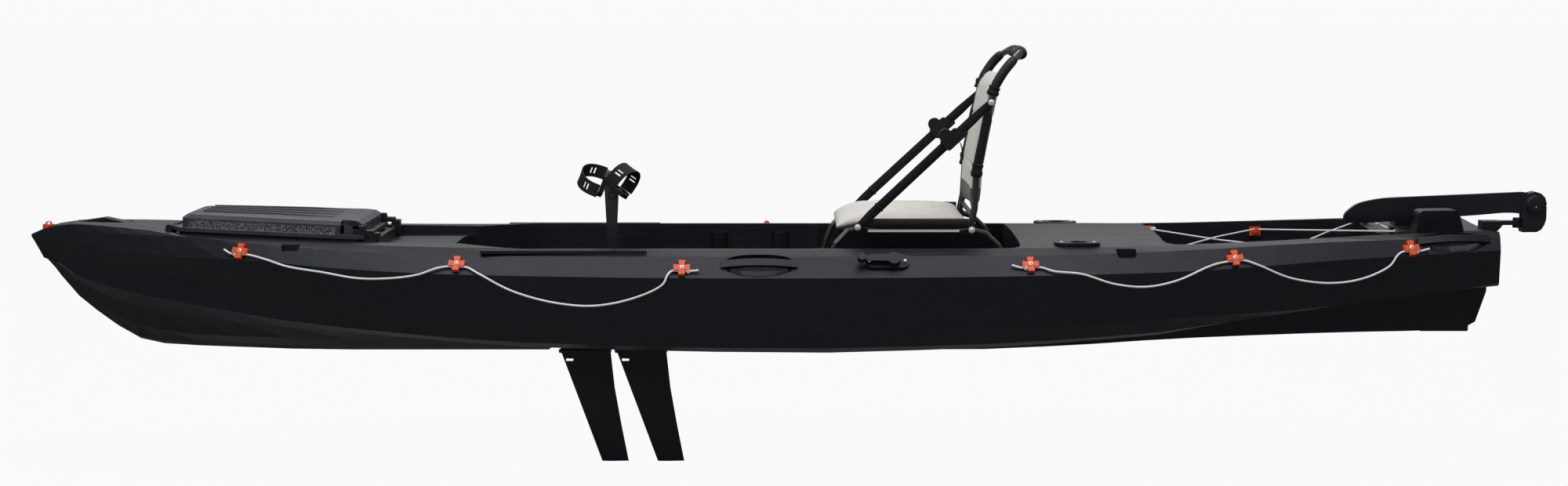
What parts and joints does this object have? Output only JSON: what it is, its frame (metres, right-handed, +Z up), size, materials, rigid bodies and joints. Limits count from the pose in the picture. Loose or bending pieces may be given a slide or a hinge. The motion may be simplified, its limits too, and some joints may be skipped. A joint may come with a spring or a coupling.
{
  "type": "pedal kayak",
  "caption": "Sit-on-top pedal kayak: moulded hull with lidded hatch, swinging-fin drive, framed seat, side steering lever and flip-up stern rudder.",
  "frame": {"origin": "on the flat of the keel, half way along the hull", "axes": "+X aft along the keel, +Y to starboard, +Z up"},
  "size_m": [4.523, 0.884, 1.2476],
  "materials": {
    "hull_plastic": "pebbled matte black polyethylene",
    "black_nylon": "moulded black nylon, satin",
    "orange_nylon": "moulded orange nylon, satin",
    "white_cord": "braided white cord",
    "black_tube": "black powder-coated aluminium tube, satin",
    "cream_fabric": "cream mesh cloth, matt",
    "black_webbing": "woven black webbing",
    "seal_rubber": "black rubber, matt",
    "bare_steel": "bare stainless steel",
    "fin_plastic": "dense black plastic, fine grain"
  },
  "bodies": {
    "root": {"hull": "hull_plastic", "hatch_seal": "seal_rubber", "hatch_hinge": "black_nylon", "bow_handle": "black_nylon", "bow_padeye": "orange_nylon", "handle_port": "black_nylon", "stern_handle_port": "black_nylon", "gear_track_port": "black_nylon", "rod_holder_port": "black_nylon", "line_guide_port_1": "orange_nylon", "line_guide_port_2": "orange_nylon", "line_guide_port_3": "orange_nylon", "line_guide_port_4": "orange_nylon", "line_guide_port_5": "orange_nylon", "line_guide_port_6": "orange_nylon", "bungee_hook_front_port": "orange_nylon", "bungee_hook_middle_port": "orange_nylon", "perimeter_line_front_port": "white_cord", "perimeter_line_rear_port": "white_cord", "seat_strap_port": "black_webbing", "handle_starboard": "black_nylon", "stern_handle_starboard": "black_nylon", "gear_track_starboard": "black_nylon", "rod_holder_starboard": "black_nylon", "line_guide_starboard_1": "orange_nylon", "line_guide_starboard_2": "orange_nylon", "line_guide_starboard_3": "orange_nylon", "line_guide_starboard_4": "orange_nylon", "line_guide_starboard_5": "orange_nylon", "line_guide_starboard_6": "orange_nylon", "bungee_hook_front_starboard": "orange_nylon", "bungee_hook_middle_starboard": "orange_nylon", "perimeter_line_front_starboard": "white_cord", "perimeter_line_rear_starboard": "white_cord", "seat_strap_starboard": "black_webbing", "bungee_cord": "white_cord", "lever_base": "black_nylon", "rudder_bracket": "black_nylon", "skid_plate": "black_nylon", "seat_base": "black_tube", "seat_pad": "cream_fabric", "drive_spine": "black_nylon", "crank_shaft": "bare_steel"},
    "hatch": {"hatch_lid": "hull_plastic"},
    "latch_port_lever": {"latch_port": "black_nylon"},
    "latch_starboard_lever": {"latch_starboard": "black_nylon"},
    "seat_back": {"seat_back_frame": "black_tube", "back_pad": "cream_fabric"},
    "port_crank": {"crank_port": "black_tube"},
    "starboard_crank": {"crank_starboard": "black_tube"},
    "port_pedal": {"pedal_port": "black_nylon", "foot_strap_port": "seal_rubber"},
    "starboard_pedal": {"pedal_starboard": "black_nylon", "foot_strap_starboard": "seal_rubber"},
    "front_fin": {"fin_front": "fin_plastic"},
    "rear_fin": {"fin_rear": "fin_plastic"},
    "lever": {"steering_lever": "black_nylon"},
    "rudder_yoke": {"rudder_head": "black_nylon"},
    "blade": {"rudder_blade": "hull_plastic"}
  },
  "joints": [
    {"name": "hatch_hinge_joint", "type": "hinge", "parent": "root", "child": "hatch", "pos_m": [-1.716, 0, 0.377], "axis": [0, -1, 0], "range_deg": [0, 100]},
    {"name": "latch_port_joint", "type": "hinge", "parent": "hatch", "child": "latch_port_lever", "pos_m": [-1.17494, -0.176, 0.36983], "axis": [0, -1, 0], "range_deg": [0, 90]},
    {"name": "latch_starboard_joint", "type": "hinge", "parent": "hatch", "child": "latch_starboard_lever", "pos_m": [-1.17494, 0.176, 0.36983], "axis": [0, -1, 0], "range_deg": [0, 90]},
    {"name": "seat_back_joint", "type": "hinge", "parent": "root", "child": "seat_back", "pos_m": [0.631, 0, 0.384], "axis": [0, -1, 0], "range_deg": [0, 30]},
    {"name": "crank_joint_port", "type": "hinge", "parent": "root", "child": "port_crank", "pos_m": [-0.425, -0.074, 0.168], "axis": [0, 1, 0], "range_deg": [-27, 27]},
    {"name": "crank_joint_starboard", "type": "hinge", "parent": "root", "child": "starboard_crank", "pos_m": [-0.425, 0.074, 0.168], "axis": [0, 1, 0], "range_deg": [-28, 28]},
    {"name": "pedal_joint_port", "type": "hinge", "parent": "port_crank", "child": "port_pedal", "pos_m": [-0.41049, -0.133, 0.47566], "axis": [0, 1, 0], "range_deg": [-40, 40]},
    {"name": "pedal_joint_starboard", "type": "hinge", "parent": "starboard_crank", "child": "starboard_pedal", "pos_m": [-0.43951, 0.133, 0.47566], "axis": [0, 1, 0], "range_deg": [-40, 40]},
    {"name": "fin_joint_front", "type": "hinge", "parent": "root", "child": "front_fin", "pos_m": [-0.5088, 0, 0.014], "axis": [1, 0, 0], "range_deg": [-60, 60]},
    {"name": "fin_joint_rear", "type": "hinge", "parent": "root", "child": "rear_fin", "pos_m": [-0.3408, 0, 0.014], "axis": [1, 0, 0], "range_deg": [-60, 60]},
    {"name": "lever_joint", "type": "hinge", "parent": "root", "child": "lever", "pos_m": [0.40029, -0.40952, 0.32078], "axis": [0.0143, -0.779, 0.6269], "range_deg": [-36, 36]},
    {"name": "steering_joint", "type": "hinge", "parent": "root", "child": "rudder_yoke", "pos_m": [2.28, 0, 0.377], "axis": [0, 0, 1], "range_deg": [-12.5, 12.5]},
    {"name": "blade_joint", "type": "hinge", "parent": "rudder_yoke", "child": "blade", "pos_m": [2.327, 0, 0.435], "axis": [0, 1, 0], "range_deg": [0, 235]}
  ],
  "couplings": [
    {"joint": "crank_joint_starboard", "follows": "crank_joint_port", "ratio": -1},
    {"joint": "fin_joint_front", "follows": "crank_joint_port", "ratio": 2.14},
    {"joint": "fin_joint_rear", "follows": "crank_joint_port", "ratio": -2.14},
    {"joint": "steering_joint", "follows": "lever_joint", "ratio": 0.333}
  ]
}
